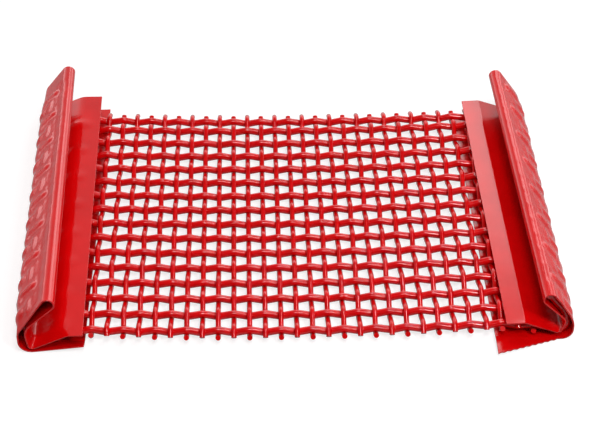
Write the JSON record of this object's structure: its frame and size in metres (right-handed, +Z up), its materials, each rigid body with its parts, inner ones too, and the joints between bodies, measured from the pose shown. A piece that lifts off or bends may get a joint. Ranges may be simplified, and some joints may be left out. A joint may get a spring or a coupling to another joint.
{
  "type": "hooked vibrating screen panel",
  "caption": "Woven mesh of crimped steel wires with a folded sheet steel hook strip along each end, painted red, for tensioning on a vibrating screen.",
  "frame": {"origin": "middle of the footprint, on the floor that the panel lies on", "axes": "+X along the long wires from the left hook strip to the right one, +Y along the hook strips to the back of the picture, +Z up, the side the hooks open to"},
  "size_m": [0.356, 0.2654, 0.0441],
  "materials": {
    "painted_sheet": "glossy red paint over folded sheet steel",
    "painted_wire": "glossy red paint over crimped steel wire"
  },
  "bodies": {
    "root": {"left_hook_strip": "painted_sheet", "right_hook_strip": "painted_sheet", "long_wire_01": "painted_wire", "long_wire_02": "painted_wire", "long_wire_03": "painted_wire", "long_wire_04": "painted_wire", "long_wire_05": "painted_wire", "long_wire_06": "painted_wire", "long_wire_07": "painted_wire", "long_wire_08": "painted_wire", "long_wire_09": "painted_wire", "long_wire_10": "painted_wire", "long_wire_11": "painted_wire", "long_wire_12": "painted_wire", "long_wire_13": "painted_wire", "long_wire_14": "painted_wire", "long_wire_15": "painted_wire", "long_wire_16": "painted_wire", "cross_wire_01": "painted_wire", "cross_wire_02": "painted_wire", "cross_wire_03": "painted_wire", "cross_wire_04": "painted_wire", "cross_wire_05": "painted_wire", "cross_wire_06": "painted_wire", "cross_wire_07": "painted_wire", "cross_wire_08": "painted_wire", "cross_wire_09": "painted_wire", "cross_wire_10": "painted_wire", "cross_wire_11": "painted_wire", "cross_wire_12": "painted_wire", "cross_wire_13": "painted_wire", "cross_wire_14": "painted_wire", "cross_wire_15": "painted_wire", "cross_wire_16": "painted_wire", "cross_wire_17": "painted_wire", "cross_wire_18": "painted_wire", "cross_wire_19": "painted_wire", "cross_wire_20": "painted_wire", "cross_wire_21": "painted_wire", "cross_wire_22": "painted_wire", "cross_wire_23": "painted_wire", "cross_wire_24": "painted_wire", "cross_wire_25": "painted_wire", "cross_wire_26": "painted_wire", "cross_wire_27": "painted_wire", "cross_wire_28": "painted_wire", "cross_wire_29": "painted_wire", "cross_wire_30": "painted_wire", "cross_wire_31": "painted_wire", "left_roll_wire": "painted_wire", "right_roll_wire": "painted_wire"}
  },
  "joints": []
}
